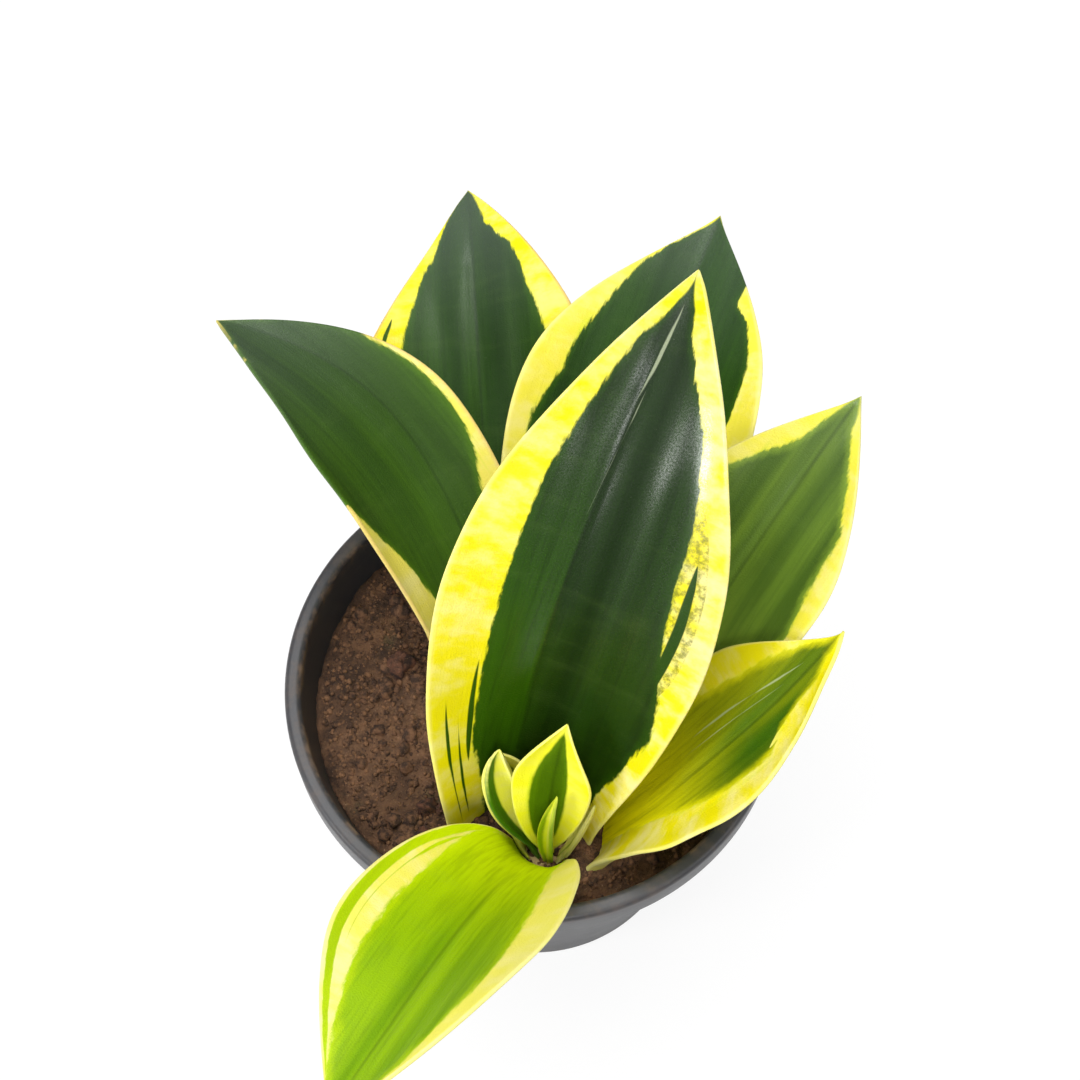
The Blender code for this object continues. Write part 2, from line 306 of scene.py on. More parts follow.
def tidy_shell(piece, sharp_angle):
    """Merge doubles, point the faces outwards and shade all but real corners smooth."""
    shell = bmesh.new()
    shell.from_mesh(piece.data)
    bmesh.ops.remove_doubles(shell, verts=shell.verts, dist=0.000002)
    bmesh.ops.recalc_face_normals(shell, faces=shell.faces)
    shell.to_mesh(piece.data)
    shell.free()
    piece.data.shade_smooth()
    piece.data.set_sharp_from_angle(angle=math.radians(sharp_angle))


def declare(piece, slot, *nodes):
    """Every piece here rides on the one body and stands for its own CAD node."""
    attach(piece, "root")
    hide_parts(*nodes)


lip_low = pot_height - LIP_TALL
under_lip = (inner_radius(lip_low) + POT_WALL, lip_low)
pot_outline = [(0.0, 0.0), (foot_radius * 0.5, 0.0)]
pot_outline += round_edge(foot_radius - FOOT_ROUND, FOOT_ROUND, FOOT_ROUND, -90, 0)
pot_outline += straight((foot_radius, FOOT_ROUND), under_lip, 24) + [under_lip]
pot_outline += round_edge(rim_radius - LIP_ROUND / 2, lip_low + LIP_ROUND / 2, LIP_ROUND / 2, -90, 0)
pot_outline += round_edge(rim_radius - LIP_ROUND, pot_height - LIP_ROUND, LIP_ROUND, 0, 90)
pot_outline += round_edge(rim_radius - LIP_WIDE + LIP_ROUND, pot_height - LIP_ROUND, LIP_ROUND, 90, 180)
inner_top = (rim_radius - LIP_WIDE, pot_height - LIP_ROUND)
inner_low = (inner_radius(POT_FLOOR), POT_FLOOR)
pot_outline += straight(inner_top, inner_low, 12) + [inner_low, (foot_radius * 0.5, POT_FLOOR)]
pot_outline += [(0.0, POT_FLOOR)]

turning = turning_tree()
pot = grow("nursery_pot", outline_mesh("pot_outline", pot_outline, rim_radius), turning, {
    "Path radius": rim_radius, "Sides": POT_SIDES, "Holes": HOLES, "Hole radius": HOLE_RADIUS,
    "Hole ring": HOLE_RING, "Hole depth": 6 * POT_FLOOR, "Material": black_plastic()})
tidy_shell(pot, 32)
declare(pot, "pot_plastic", "pot")


# The soil: loose brown potting mix filled to just below the rim, a little lower where it has settled
# against the wall, with a small dish where the crown grows.

SOIL_CLEARANCE = 0.0003
SOIL_EDGE_DROP = 0.0030
SOIL_RINGS = 72
SOIL_SPOKES = 260
CROWN_DISH = 0.0092

soil_low, soil_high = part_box("soil")
rhizome_low, rhizome_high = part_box("rhizome")
crown = (rhizome_low + rhizome_high) / 2
soil_top = soil_high.z
dish_floor = rhizome_high.z


def earth():
    """Peaty potting mix: dark brown, paler and greyer where it has dried, with tan flecks."""
    made, start, shader = new_material("potting_mix")
    place = start.node("ShaderNodeTexCoord", {}, {}, 3)
    patches = place.noise(45.0, 4.0, 0.6)
    damp = place.noise(30.0, 3.0, 0.65, offset=(0.4, 1.7, 0.0))
    clods = place.noise(210.0, 6.0, 0.72)
    specks = place.noise(1500.0, 3.0, 0.7)
    colour = clods.step(0.34, 0.66).blend(linear(52, 34, 22), linear(116, 82, 56))
    colour = (patches.step(0.48, 0.72) * 0.50).blend(colour, linear(134, 98, 70))
    colour = (specks.step(0.60, 0.72) * 0.55).blend(colour, linear(176, 142, 112))
    colour = ((1.0 - specks.step(0.30, 0.42)) * 0.7).blend(colour, linear(30, 20, 16))
    colour = (damp.step(0.46, 0.66) * 0.60).blend(colour, linear(44, 28, 18))
    moss = place.noise(90.0, 3.0, 0.5, offset=(3.0, 1.0, 0.0)).step(0.62, 0.74)
    colour = (moss * 0.22).blend(colour, linear(96, 96, 62))
    normal = (clods * 1.0 + specks * 0.6).bump(0.9, 0.0010)
    finish_shader(shader, colour, 0.86 + specks * 0.12, normal)
    return made


def soil_height(x, y, share):
    """Height of the loose surface at a place, share of the way from the middle to the wall."""
    lumps = noise.fractal(Vector((x * 70, y * 70, 0.3)), 1.0, 2.0, 3)
    crumble = noise.fractal(Vector((x * 420, y * 420, 4.7)), 0.9, 2.1, 4)
    height = soil_top + lumps * 0.0020 + abs(crumble) * 0.0013 - 0.0008
    height -= SOIL_EDGE_DROP * max(share - 0.86, 0.0) / 0.14
    from_crown = math.hypot(x - crown.x, y - crown.y)
    sink = min(max((CROWN_DISH - from_crown) / 0.0035, 0.0), 1.0)
    sink = sink * sink * (3 - 2 * sink)
    return height + (dish_floor - 0.0002 - height) * sink


soil_mesh = bmesh.new()
rings = []
for ring in range(1, SOIL_RINGS + 1):
    share = ring / SOIL_RINGS
    radius = share * (inner_radius(soil_top) - SOIL_CLEARANCE)
    around = []
    for spoke in range(SOIL_SPOKES):
        angle = math.tau * spoke / SOIL_SPOKES
        x, y = radius * math.cos(angle), radius * math.sin(angle)
        around.append(soil_mesh.verts.new((x, y, soil_height(x, y, share))))
    rings.append(around)
for low in (soil_low.z + 0.045, soil_low.z):
    radius = inner_radius(low) - SOIL_CLEARANCE
    angles = [math.tau * spoke / SOIL_SPOKES for spoke in range(SOIL_SPOKES)]
    rings.append([soil_mesh.verts.new((radius * math.cos(a), radius * math.sin(a), low)) for a in angles])
middle = soil_mesh.verts.new((0, 0, soil_height(0, 0, 0)))
for spoke in range(SOIL_SPOKES):
    after = (spoke + 1) % SOIL_SPOKES
    soil_mesh.faces.new((middle, rings[0][spoke], rings[0][after]))
    for near, far in zip(rings, rings[1:]):
        soil_mesh.faces.new((near[spoke], far[spoke], far[after], near[after]))
soil_mesh.faces.new(rings[-1][::-1])
soil_data = bpy.data.meshes.new("soil_bed")
soil_mesh.to_mesh(soil_data)
soil_mesh.free()
soil_data.materials.append(earth())
soil_data.shade_smooth()
soil_bed = place_object("soil_bed", soil_data)


# Crumbs of the same mix: loose grains and small clods lying on the soil, thousands of them, no two
# turned the same way.

def scatter_tree():
    """Strews rough lumps over the top of a mesh, each with its own size and turn."""
    tree, given, result = tree_for("strewn_crumbs", [
        ("Per square metre", "Float", 1000.0), ("Smallest", "Float", 0.0004), ("Largest", "Float", 0.002),
        ("Fineness", "Int", 1), ("Seed", "Int", 1), ("Material", "Material", None),
        ("Above", "Float", 0.0), ("Reach", "Float", 0.05)])
    spot = geometry_node(tree, "GeometryNodeInputPosition")
    level = geometry_node(tree, "ShaderNodeSeparateXYZ", {"Vector": spot.outputs["Position"]})
    flat = geometry_node(tree, "ShaderNodeVectorMath",
                         {0: spot.outputs["Position"], 1: (1.0, 1.0, 0.0)}, operation="MULTIPLY")
    radius = geometry_node(tree, "ShaderNodeVectorMath", {0: flat.outputs["Vector"]}, operation="LENGTH")
    on_top = geometry_node(tree, "FunctionNodeCompare",
                           {0: level.outputs["Z"], 1: given.outputs["Above"]},
                           data_type="FLOAT", operation="GREATER_THAN")
    in_reach = geometry_node(tree, "FunctionNodeCompare",
                             {0: radius.outputs["Value"], 1: given.outputs["Reach"]},
                             data_type="FLOAT", operation="LESS_THAN")
    both = geometry_node(tree, "FunctionNodeBooleanMath",
                         {0: on_top.outputs["Result"], 1: in_reach.outputs["Result"]}, operation="AND")
    points = geometry_node(tree, "GeometryNodeDistributePointsOnFaces",
                           {"Mesh": given.outputs["Mesh"], "Selection": both.outputs["Boolean"],
                            "Density": given.outputs["Per square metre"], "Seed": given.outputs["Seed"]})
    ball = geometry_node(tree, "GeometryNodeMeshIcoSphere",
                         {"Radius": 1.0, "Subdivisions": given.outputs["Fineness"]})
    lumps = []
    for number in range(5):
        rough = geometry_node(tree, "ShaderNodeTexNoise",
                              {"W": 7.3 * number + 1.0, "Scale": 1.1, "Detail": 2.0},
                              noise_dimensions="4D")
        centred = geometry_node(tree, "ShaderNodeVectorMath",
                                {0: rough.outputs["Color"], 1: (0.5, 0.5, 0.5)}, operation="SUBTRACT")
        pushed = geometry_node(tree, "ShaderNodeVectorMath",
                               {0: centred.outputs["Vector"], 1: (2.0, 2.0, 1.7)}, operation="MULTIPLY")
        lump = geometry_node(tree, "GeometryNodeSetPosition",
                             {"Geometry": ball.outputs["Mesh"], "Offset": pushed.outputs["Vector"]})
        lumps.append(geometry_node(tree, "GeometryNodeGeometryToInstance",
                                   {0: lump.outputs["Geometry"]}).outputs["Instances"])
    choice = tree.nodes.new("GeometryNodeJoinGeometry")
    for lump in lumps:
        tree.links.new(lump, choice.inputs[0])
    turn = geometry_node(tree, "FunctionNodeRandomValue",
                         {"Max": (math.tau, math.tau, math.tau), "Seed": given.outputs["Seed"]},
                         data_type="FLOAT_VECTOR")
    chance = geometry_node(tree, "FunctionNodeRandomValue", {"Seed": given.outputs["Seed"]},
                           data_type="FLOAT")
    small_more = geometry_node(tree, "ShaderNodeMath", {0: chance.outputs[1], 1: 2.6}, operation="POWER")
    size = geometry_node(tree, "ShaderNodeMapRange",
                         {"Value": small_more.outputs[0], "To Min": given.outputs["Smallest"],
                          "To Max": given.outputs["Largest"]})
    strewn = geometry_node(tree, "GeometryNodeInstanceOnPoints",
                           {"Points": points.outputs["Points"], "Instance": choice.outputs[0],
                            "Pick Instance": True, "Rotation": turn.outputs[0],
                            "Scale": size.outputs[0]})
    return finish_tree(tree, given, result, strewn.outputs["Instances"])


def crumb_earth(name, dark, light):
    """The mix again, on loose grains: each is darker or paler by where it lies."""
    made, start, shader = new_material(name)
    place = start.node("ShaderNodeTexCoord", {}, {}, 3)
    lumps = place.noise(520.0, 2.0)
    grit = place.noise(2600.0, 3.0, 0.7)
    colour = lumps.step(0.36, 0.64).blend(dark, light)
    colour = (grit.step(0.55, 0.75) * 0.4).blend(colour, linear(168, 132, 104))
    colour = ((1.0 - grit.step(0.30, 0.45)) * 0.5).blend(colour, linear(36, 24, 18))
    finish_shader(shader, colour, 0.88 + grit * 0.1, grit.bump(0.7, 0.0005))
    return made


LUMP_SPREAD = 1.6
scatter = scatter_tree()
for name, density, smallest, largest, fineness, seed, finish in (
        ("soil_grains", 700000.0, 0.00022, 0.0010, 1, 3,
         crumb_earth("grain_earth", linear(62, 41, 27), linear(124, 88, 60))),
        ("soil_crumbs", 60000.0, 0.0005, 0.0021, 2, 8,
         crumb_earth("crumb_earth", linear(54, 36, 24), linear(112, 78, 54))),
        ("soil_clods", 2600.0, 0.0012, 0.0040, 3, 21,
         crumb_earth("clod_earth", linear(46, 28, 20), linear(96, 60, 42)))):
    crumbs = grow(name, soil_bed.data.copy(), scatter, {
        "Per square metre": density, "Smallest": smallest, "Largest": largest, "Fineness": fineness,
        "Seed": seed, "Material": finish, "Above": soil_top - 2 * SOIL_EDGE_DROP,
        "Reach": inner_radius(soil_top) - SOIL_CLEARANCE - LUMP_SPREAD * largest})
    crumbs.data.shade_smooth()
    declare(crumbs, "soil", "soil")
declare(soil_bed, "soil", "soil")


# The rhizome: the short fleshy underground stem that every leaf rises from, pale tan and ringed with
# the scars of old leaves. Its top shows at the bottom of the crown's dish.

RHIZOME_RINGS = 9
RING_DEPTH = 0.0003
FOOT_SHARE = 0.35
STEPS_PER_RING = 6


def stem_skin():
    """Pale fleshy stem with papery brown patches."""
    made, start, shader = new_material("rhizome_skin")
    place = start.node("ShaderNodeTexCoord", {}, {}, 3)
    patches = place.noise(280.0, 4.0, 0.6)
    fibres = place.noise(1600.0, 3.0, stretch=(1.0, 1.0, 0.3))
    colour = patches.step(0.40, 0.64).blend(linear(150, 118, 76), linear(196, 168, 116))
    colour = (fibres.step(0.55, 0.75) * 0.4).blend(colour, linear(104, 76, 48))
    finish_shader(shader, colour, 0.62 + fibres * 0.2, fibres.bump(0.5, 0.0003))
    return made


stem_radius = (rhizome_high.x - rhizome_low.x) / 2
stem_foot = stem_radius * FOOT_SHARE
stem_rise = rhizome_high.z - rhizome_low.z - stem_foot
stem_outline = [(0.0, rhizome_low.z)]
stem_outline += round_edge(stem_radius - stem_foot, rhizome_low.z + stem_foot, stem_foot, -90, 0)
for step in range(RHIZOME_RINGS * STEPS_PER_RING):
    share = (step + 1) / (RHIZOME_RINGS * STEPS_PER_RING)
    height = rhizome_low.z + stem_foot + stem_rise * share
    waist = RING_DEPTH * (0.5 + 0.5 * math.cos(math.tau * RHIZOME_RINGS * share))
    stem_outline.append((stem_radius - waist * (1 - share ** 8), height))
stem_outline.append((0.0, rhizome_high.z))
stem = grow("rhizome_stub", outline_mesh("stem_outline", stem_outline, stem_radius), turning, {
    "Path radius": stem_radius, "Sides": 64, "Holes": 0, "Material": stem_skin()})
stem.data.transform(Matrix.Translation((crown.x, crown.y, 0)))
tidy_shell(stem, 40)
declare(stem, "rhizome", "rhizome")


# The leaves: stiff succulent blades with a dark green band down the middle and yellow margins, each
# channelled round its midrib and growing straight from the crown. Every blade follows its CAD node,
# with a rounded margin, a crease along the midrib, wavy edges and a hooked point added.

ROWS = 150
ACROSS = 44
YOUNG_ROWS = 80
YOUNG_ACROSS = 30
MARGIN_STEPS = 5
CREASE_DEEP = 0.00045
CREASE_WIDE = 0.0017
VALLEY_DEEP = 0.0005
VALLEY_WIDE = 0.0065
UNDER_CREASE = 0.6
CREASE_FULL_AT = 0.016
YOUNG_CREASE = 0.3
HOOK_LENGTH = 0.0045
EDGE_STARTS = 0.975
TIP_PACKING = 1.35
MARGIN_WAVES = 9
YOUNG_WAVES = 4
BROAD_SWELL = 0.00022
BROAD_SWELL_RUN = 0.0034
FINE_SWELL = 0.00012
FINE_SWELL_RUN = 0.0017
YOUNG_SWELL = 0.25


def rings_from_tip(node, around):
    """The CAD blade's rings of points, each one matched to the last, from the point down to the base."""
    solid = bmesh.new()
    solid.from_mesh(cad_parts[node].data)
    bmesh.ops.remove_doubles(solid, verts=solid.verts, dist=0.000002)
    lowest = min(solid.verts, key=lambda v: v.co.z).co.copy()
    fans = (v for v in solid.verts if len(v.link_edges) == around)
    tip = max(fans, key=lambda v: (v.co - lowest).length)
    seen = {tip}
    layer = {edge.other_vert(tip) for edge in tip.link_edges}
    tip_place = np.array(tip.co)
    found = []
    while len(layer) == around:
        walk = [min(layer, key=lambda v: tuple(v.co))]
        while len(walk) < around:
            ahead = [e.other_vert(walk[-1]) for e in walk[-1].link_edges]
            ahead = [v for v in ahead if v in layer and v not in walk]
            if not ahead:
                break
            near = min(ahead, key=lambda v: (v.co - walk[-1].co).length)
            walk.append(near if len(walk) > 1 else ahead[0])
        if len(walk) < around:
            break
        points = np.array([v.co[:] for v in walk])
        if found:
            turns = [np.roll(way, shift, axis=0)
                     for way in (points, points[::-1]) for shift in range(around)]
            points = min(turns, key=lambda turn: float(((turn - found[-1]) ** 2).sum()))
        found.append(points)
        seen |= layer
        layer = {e.other_vert(v) for v in layer for e in v.link_edges} - seen
    solid.free()
    return tip_place, np.array(found)


def faces_of(tip, found):
    """Upper and under faces as rows of points from the left margin to the right, tip first."""
    around = found.shape[1]
    half = around // 2
    sides = [sum(np.linalg.norm(ring[i] - ring[(i - 1) % around]) +
                 np.linalg.norm(ring[(i + half) % around] - ring[(i + half - 1) % around])
                 for ring in found) for i in range(half)]
    found = np.roll(found, -int(np.argmin(sides)), axis=1)
    one, other = found[:, :half], found[:, half:][:, ::-1]
    middle = (one + other) / 2
    hollow = (middle[:, 0] + middle[:, -1]) / 2 - middle[:, half // 2]
    if (hollow * (one - other)[:, half // 2]).sum() < 0:
        one, other = other, one
    run = np.gradient(middle[::-1, half // 2], axis=0)[::-1]
    right = np.cross(run, (one - other)[:, half // 2])
    if (right * (middle[:, -1] - middle[:, 0])).sum() < 0:
        one, other = one[:, ::-1], other[:, ::-1]
    point = np.repeat(tip[None, None], half, axis=1)
    return np.concatenate([point, one]), np.concatenate([point, other])


def smooth_through(knots, values, places):
    """A natural cubic spline through values at knots, read at places; values may be rows of points."""
    count = len(knots)
    gap = np.diff(knots)
    shape = (count - 1,) + (1,) * (values.ndim - 1)
    slope = np.diff(values, axis=0) / gap.reshape(shape)
    system = np.eye(count)
    wanted = np.zeros_like(values)
    for row in range(1, count - 1):
        system[row, row - 1:row + 2] = gap[row - 1], 2 * (gap[row - 1] + gap[row]), gap[row]
        wanted[row] = 6 * (slope[row] - slope[row - 1])
    bend = np.linalg.solve(system, wanted.reshape(count, -1)).reshape(values.shape)
    spot = np.clip(np.searchsorted(knots, places) - 1, 0, count - 2)
    shape = (len(places),) + (1,) * (values.ndim - 1)
    size = gap[spot].reshape(shape)
    after = (places - knots[spot]).reshape(shape)
    before = size - after
    low, high, bend_low, bend_high = values[spot], values[spot + 1], bend[spot], bend[spot + 1]
    curve = (bend_low * before ** 3 + bend_high * after ** 3) / (6 * size)
    curve += (low / size - bend_low * size / 6) * before
    return curve + (high / size - bend_high * size / 6) * after


def unit(vectors):
    """The same directions at length 1."""
    return vectors / np.maximum(np.linalg.norm(vectors, axis=-1, keepdims=True), 1e-12)


def wave(places, seed, count):
    """A slow random wave along a blade, count swings from base to tip."""
    return np.array([noise.noise(Vector((float(p) * count, seed * 3.7, 0.5))) for p in places])


def blade_mesh(node, band, young, seed, waviness, hook, crease_at):
    """Refine a CAD blade into a smooth leaf that carries its own measurements for the colouring."""
    tip, found = rings_from_tip(node, 10 if young else 14)
    upper, under = faces_of(tip, found)
    middle = (upper + under) / 2
    normal = upper - under
    normal[0] = normal[1]
    normal = unit(normal)
    thick = np.linalg.norm(upper - under, axis=-1)
    thick[0] = thick[1] * 0.5
    centre = middle.shape[1] // 2
    steps = np.linalg.norm(np.diff(middle[:, centre], axis=0), axis=1)
    from_tip = np.concatenate([[0.0], np.cumsum(steps)])
    heel = middle[-1, centre]
    back = unit(middle[-1, centre] - middle[-2, centre])
    to_soil = (heel[2] - soil_top) / max(-back[2], 0.2)
    length = from_tip[-1] + to_soil
    to_end = (heel[2] - dish_floor) / max(-back[2], 0.2)
    last_run = middle[-1] - middle[-2]
    share = to_end / max(steps[-1], 1e-6)
    middle = np.concatenate([middle, middle[-1:] + last_run[None] * share])
    normal = np.concatenate([normal, normal[-1:]])
    thick = np.concatenate([thick, thick[-1:]])
    from_tip = np.append(from_tip, from_tip[-1] + to_end)
    rows = (YOUNG_ROWS if young else ROWS)
    places = from_tip[-1] * np.linspace(0, 1, rows + 1) ** TIP_PACKING
    middle = smooth_through(from_tip, middle, places)
    normal = smooth_through(from_tip, normal, places)
    thick = np.stack([np.interp(places, from_tip, thick[:, k]) for k in range(thick.shape[1])], axis=1)
    across_count = YOUNG_ACROSS if young else ACROSS
    inner = np.linspace(-EDGE_STARTS, EDGE_STARTS, across_count)
    lip = 1 - (1 - EDGE_STARTS) * (1 - np.sin(np.linspace(0, math.pi / 2, MARGIN_STEPS + 1)[1:]))
    across = np.concatenate([-lip[::-1], inner, lip])
    knots = np.linspace(-1, 1, middle.shape[1])
    middle = smooth_through(knots, middle.transpose(1, 0, 2), across).transpose(1, 0, 2)
    normal = unit(smooth_through(knots, normal.transpose(1, 0, 2), across).transpose(1, 0, 2))
    thick = np.stack([np.interp(across, knots, row) for row in thick])
    past = np.clip((np.abs(across) - EDGE_STARTS) / (1 - EDGE_STARTS), 0, 1)
    thick = thick * np.sqrt(np.clip(1 - past ** 2, 0, 1))[None]
    along = 1 - places / length
    arc = np.concatenate([np.zeros((rows + 1, 1)),
                          np.cumsum(np.linalg.norm(np.diff(middle, axis=1), axis=2), axis=1)], axis=1)
    arc -= arc[:, -1:] / 2
    half_width = arc[:, -1]
    slip = np.clip(places / 0.004, 0, 1)
    waves = YOUNG_WAVES if young else MARGIN_WAVES
    ripple_left = wave(along, seed, waves)
    ripple_right = wave(along, seed + 5.5, waves)
    side = np.abs(across)[None] ** 3 * slip[:, None]
    ripple = np.where(across[None] < 0, ripple_left[:, None], ripple_right[:, None]) * side * waviness
    away = np.clip(along * 6, 0, 1)[:, None]
    crease_line = crease_at[0] + (crease_at[1] - crease_at[0]) * np.clip(along, 0, 1)
    from_crease = arc - crease_line[:, None] * half_width[:, None]
    crease = CREASE_DEEP * np.exp(-(from_crease / CREASE_WIDE) ** 2)
    crease += VALLEY_DEEP * np.exp(-(from_crease / VALLEY_WIDE) ** 2)
    room = np.clip(half_width / CREASE_FULL_AT, 0, 1)[:, None] ** 2
    crease *= away * room * (YOUNG_CREASE if young else 1.0)
    drift = wave(along, seed + 9.1, 1.5)[:, None]
    swell = BROAD_SWELL * np.sin(arc / BROAD_SWELL_RUN + seed + drift * 2)
    swell += FINE_SWELL * np.sin(arc / FINE_SWELL_RUN + seed * 2 - drift)
    swell *= slip[:, None] * (1 - np.abs(across[None]) ** 4) * (YOUNG_SWELL if young else 1.0)
    spine = normal[:, normal.shape[1] // 2][:, None]
    hooked = spine * (hook * np.exp(-places / HOOK_LENGTH))[:, None, None]
    top = middle + normal * (thick / 2 + ripple + swell - crease)[..., None] + hooked
    bottom = middle + normal * (ripple - thick / 2 + swell - crease * UNDER_CREASE)[..., None] + hooked
    inside = np.minimum(across[None] - np.interp(along, *band[0])[:, None],
                        np.interp(along, *band[1])[:, None] - across[None]) * half_width[:, None] * 1000
    return top, bottom, across, along, arc, half_width, inside, from_crease


def add_blade(name, node, band, finish, young=False, seed=1.0, waviness=0.0005, hook=0.0008,
              crease_at=(0.0, 0.0)):
    top, bottom, across, along, arc, half_width, inside, from_crease = blade_mesh(
        node, band, young, seed, waviness, hook, crease_at)
    rows, columns = top.shape[0] - 1, top.shape[1]
    ring = 2 * columns - 2
    points = [tuple((top[0].mean(axis=0) + bottom[0].mean(axis=0)) / 2)]
    facts = [(float(along[0]), 0.0, 0.0, float(inside[0].max()), 0.5, 0.0, 0.0)]
    for row in range(1, rows + 1):
        for column in range(columns):
            middle_place = (top[row, column] + bottom[row, column]) / 2
            place = middle_place if column in (0, columns - 1) else top[row, column]
            points.append(tuple(place))
            facts.append((along[row], across[column], arc[row, column], inside[row, column], 1.0,
                          half_width[row], from_crease[row, column]))
        for column in range(columns - 2, 0, -1):
            points.append(tuple(bottom[row, column]))
            facts.append((along[row], across[column], arc[row, column], inside[row, column], 0.0,
                          half_width[row], from_crease[row, column]))
    faces = [(0, 1 + (here + 1) % ring, 1 + here) for here in range(ring)]
    for row in range(rows - 1):
        low, high = 1 + row * ring, 1 + (row + 1) * ring
        faces += [(low + here, low + (here + 1) % ring, high + (here + 1) % ring, high + here)
                  for here in range(ring)]
    faces.append(tuple(range(1 + (rows - 1) * ring, 1 + rows * ring)))
    mesh = bpy.data.meshes.new(name)
    mesh.from_pydata(points, [], faces)
    facts = np.array(facts, dtype=np.float32)
    length = float(np.linalg.norm(np.diff((top + bottom)[:, columns // 2] / 2, axis=0), axis=1).sum())
    for column, label in enumerate(("along", "across", "arc", "inside", "upper", "half_width", "crease")):
        layer = mesh.attributes.new(label, "FLOAT", "POINT")
        layer.data.foreach_set("value", np.ascontiguousarray(facts[:, column]))
    loops = np.zeros(len(mesh.loops), dtype=np.int32)
    mesh.loops.foreach_get("vertex_index", loops)
    uv = mesh.uv_layers.new(name="blade")
    flat = np.stack([facts[loops, 2] * 10 + 0.5, facts[loops, 0] * length * 10], axis=1)
    uv.data.foreach_set("uv", np.ascontiguousarray(flat.astype(np.float32)).ravel())
    mesh.materials.append(finish)
    shell = bmesh.new()
    shell.from_mesh(mesh)
    bmesh.ops.recalc_face_normals(shell, faces=shell.faces)
    shell.to_mesh(mesh)
    shell.free()
    mesh.shade_smooth()
    piece = place_object(name, mesh)
    declare(piece, "young_leaf" if young else "leaf", node)


